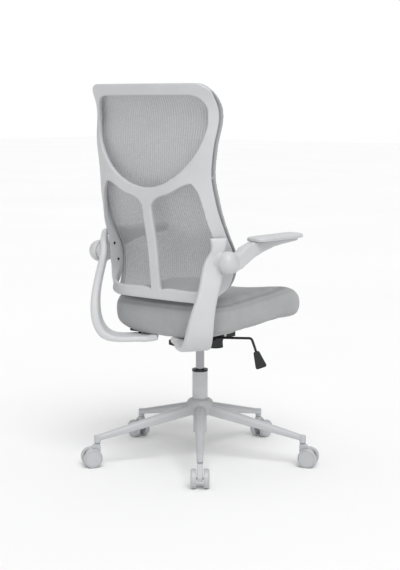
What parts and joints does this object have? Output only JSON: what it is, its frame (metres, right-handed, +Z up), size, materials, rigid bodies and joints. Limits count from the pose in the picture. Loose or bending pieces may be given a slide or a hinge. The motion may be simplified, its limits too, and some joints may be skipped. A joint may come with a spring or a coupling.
{
  "type": "office chair",
  "caption": "High-back mesh office chair with flip-up armrests, padded seat, tilt mechanism, gas lift and a five-star base on twin-wheel casters.",
  "frame": {"origin": "on the floor under the axis of the gas lift column", "axes": "+Z up along the column; the chair faces -Y and its back is at +Y; the sitter's right-hand side, with the lever, is -X"},
  "size_m": [0.7626, 0.7417, 1.211],
  "materials": {
    "frame_grey": "fine matt moulded",
    "base_grey": "fine matt moulded",
    "tube_paint": "grey satin paint",
    "black_plastic": "matt moulded",
    "black_steel": "black satin paint",
    "chrome": "polished",
    "steel": "plain",
    "mesh": "open woven mesh",
    "seat_fabric": "woven cover over foam",
    "pad": "soft moulded",
    "wheel": "moulded tread"
  },
  "bodies": {
    "base": {"base_star": "base_grey", "column_tube": "tube_paint", "column_bush": "black_plastic", "column_collar": "black_plastic", "stem_sleeves": "steel", "thrust_bearing": "steel"},
    "spindle": {"piston_rod": "steel"},
    "mechanism": {"gas_cylinder": "chrome", "mechanism_housing": "black_steel", "tilt_pin": "steel", "tension_bolt": "steel", "tension_spring": "steel"},
    "release_button": {"release_button": "steel"},
    "tension_knob": {"tension_knob": "black_plastic"},
    "lever_carrier": {"lever_carrier": "black_plastic", "lever_pin": "steel"},
    "lever": {"lever_rod": "black_steel", "lever_paddle": "black_plastic"},
    "seat": {"seat_bracket": "black_steel", "bracket_bolts": "black_steel", "upright_bolts": "black_steel", "seat_pan": "black_plastic", "seat_cushion": "seat_fabric", "upright_left": "frame_grey", "upright_right": "frame_grey", "back_frame": "frame_grey", "mesh_carrier": "frame_grey", "mesh_panel": "mesh", "wing_screws": "black_steel", "arm_pin_left": "steel", "arm_pin_right": "steel"},
    "arm_left": {"armrest_left": "frame_grey", "arm_pad_left": "pad"},
    "arm_right": {"armrest_right": "frame_grey", "arm_pad_right": "pad"},
    "caster_1": {"caster_stem_1": "steel", "caster_hood_1": "base_grey", "caster_axle_1": "steel"},
    "caster_wheel_left_1": {"caster_wheel_left_1": "wheel"},
    "caster_wheel_right_1": {"caster_wheel_right_1": "wheel"},
    "caster_2": {"caster_stem_2": "steel", "caster_hood_2": "base_grey", "caster_axle_2": "steel"},
    "caster_wheel_left_2": {"caster_wheel_left_2": "wheel"},
    "caster_wheel_right_2": {"caster_wheel_right_2": "wheel"},
    "caster_3": {"caster_stem_3": "steel", "caster_hood_3": "base_grey", "caster_axle_3": "steel"},
    "caster_wheel_left_3": {"caster_wheel_left_3": "wheel"},
    "caster_wheel_right_3": {"caster_wheel_right_3": "wheel"},
    "caster_4": {"caster_stem_4": "steel", "caster_hood_4": "base_grey", "caster_axle_4": "steel"},
    "caster_wheel_left_4": {"caster_wheel_left_4": "wheel"},
    "caster_wheel_right_4": {"caster_wheel_right_4": "wheel"},
    "caster_5": {"caster_stem_5": "steel", "caster_hood_5": "base_grey", "caster_axle_5": "steel"},
    "caster_wheel_left_5": {"caster_wheel_left_5": "wheel"},
    "caster_wheel_right_5": {"caster_wheel_right_5": "wheel"}
  },
  "joints": [
    {"name": "swivel", "type": "hinge", "parent": "base", "child": "spindle", "pos_m": [0, 0, 0.2], "axis": [0, 0, 1], "continuous": true},
    {"name": "lift", "type": "slide", "parent": "spindle", "child": "mechanism", "axis": [0, 0, 1], "range_m": [-0.06, 0.015]},
    {"name": "button_press", "type": "slide", "parent": "mechanism", "child": "release_button", "axis": [0, 0, 1], "range_m": [-0.003, 0], "stiffness_N_per_m": 300, "springref_m": 0.002},
    {"name": "tension_turn", "type": "hinge", "parent": "mechanism", "child": "tension_knob", "pos_m": [0, -0.078, 0.375], "axis": [0, 0, 1], "continuous": true},
    {"name": "lever_pull", "type": "slide", "parent": "mechanism", "child": "lever_carrier", "axis": [-1, 0, 0], "range_m": [0, 0.008]},
    {"name": "lever_lift", "type": "hinge", "parent": "lever_carrier", "child": "lever", "pos_m": [-0.04, 0, 0.4046], "axis": [0, 1, 0], "range_deg": [0, 4], "stiffness_Nm_per_rad": 6, "springref_deg": -4.01},
    {"name": "tilt", "type": "hinge", "parent": "mechanism", "child": "seat", "pos_m": [0, -0.045, 0.408], "axis": [-1, 0, 0], "range_deg": [0, 15], "stiffness_Nm_per_rad": 90, "springref_deg": -24.98},
    {"name": "arm_flip_left", "type": "hinge", "parent": "seat", "child": "arm_left", "pos_m": [0.273, 0.187, 0.68], "axis": [-1, 0, 0], "range_deg": [0, 80]},
    {"name": "arm_flip_right", "type": "hinge", "parent": "seat", "child": "arm_right", "pos_m": [-0.273, 0.187, 0.68], "axis": [-1, 0, 0], "range_deg": [0, 80]},
    {"name": "caster_swivel_1", "type": "hinge", "parent": "base", "child": "caster_1", "pos_m": [-0.22176, 0.26428, 0.08], "axis": [0, 0, 1], "continuous": true},
    {"name": "wheel_spin_left_1", "type": "hinge", "parent": "caster_1", "child": "caster_wheel_left_1", "pos_m": [-0.23397, 0.27884, 0.03], "axis": [-0.766, -0.6428, 0], "continuous": true},
    {"name": "wheel_spin_right_1", "type": "hinge", "parent": "caster_1", "child": "caster_wheel_right_1", "pos_m": [-0.23397, 0.27884, 0.03], "axis": [-0.766, -0.6428, 0], "continuous": true},
    {"name": "caster_swivel_2", "type": "hinge", "parent": "base", "child": "caster_2", "pos_m": [-0.31988, -0.12924, 0.08], "axis": [0, 0, 1], "continuous": true},
    {"name": "wheel_spin_left_2", "type": "hinge", "parent": "caster_2", "child": "caster_wheel_left_2", "pos_m": [-0.33749, -0.13636, 0.03], "axis": [0.3746, -0.9272, 0], "continuous": true},
    {"name": "wheel_spin_right_2", "type": "hinge", "parent": "caster_2", "child": "caster_wheel_right_2", "pos_m": [-0.33749, -0.13636, 0.03], "axis": [0.3746, -0.9272, 0], "continuous": true},
    {"name": "caster_swivel_3", "type": "hinge", "parent": "base", "child": "caster_3", "pos_m": [0.02407, -0.34416, 0.08], "axis": [0, 0, 1], "continuous": true},
    {"name": "wheel_spin_left_3", "type": "hinge", "parent": "caster_3", "child": "caster_wheel_left_3", "pos_m": [0.02539, -0.36311, 0.03], "axis": [0.9976, 0.0698, 0], "continuous": true},
    {"name": "wheel_spin_right_3", "type": "hinge", "parent": "caster_3", "child": "caster_wheel_right_3", "pos_m": [0.02539, -0.36311, 0.03], "axis": [0.9976, 0.0698, 0], "continuous": true},
    {"name": "caster_swivel_4", "type": "hinge", "parent": "base", "child": "caster_4", "pos_m": [0.33475, -0.08346, 0.08], "axis": [0, 0, 1], "continuous": true},
    {"name": "wheel_spin_left_4", "type": "hinge", "parent": "caster_4", "child": "caster_wheel_left_4", "pos_m": [0.35319, -0.08806, 0.03], "axis": [0.2419, 0.9703, 0], "continuous": true},
    {"name": "wheel_spin_right_4", "type": "hinge", "parent": "caster_4", "child": "caster_wheel_right_4", "pos_m": [0.35319, -0.08806, 0.03], "axis": [0.2419, 0.9703, 0], "continuous": true},
    {"name": "caster_swivel_5", "type": "hinge", "parent": "base", "child": "caster_5", "pos_m": [0.18282, 0.29258, 0.08], "axis": [0, 0, 1], "continuous": true},
    {"name": "wheel_spin_left_5", "type": "hinge", "parent": "caster_5", "child": "caster_wheel_left_5", "pos_m": [0.19289, 0.30869, 0.03], "axis": [-0.848, 0.5299, 0], "continuous": true},
    {"name": "wheel_spin_right_5", "type": "hinge", "parent": "caster_5", "child": "caster_wheel_right_5", "pos_m": [0.19289, 0.30869, 0.03], "axis": [-0.848, 0.5299, 0], "continuous": true}
  ],
  "couplings": [
    {"joint": "button_press", "follows": "lever_lift", "m_per_rad": -0.0425}
  ]
}
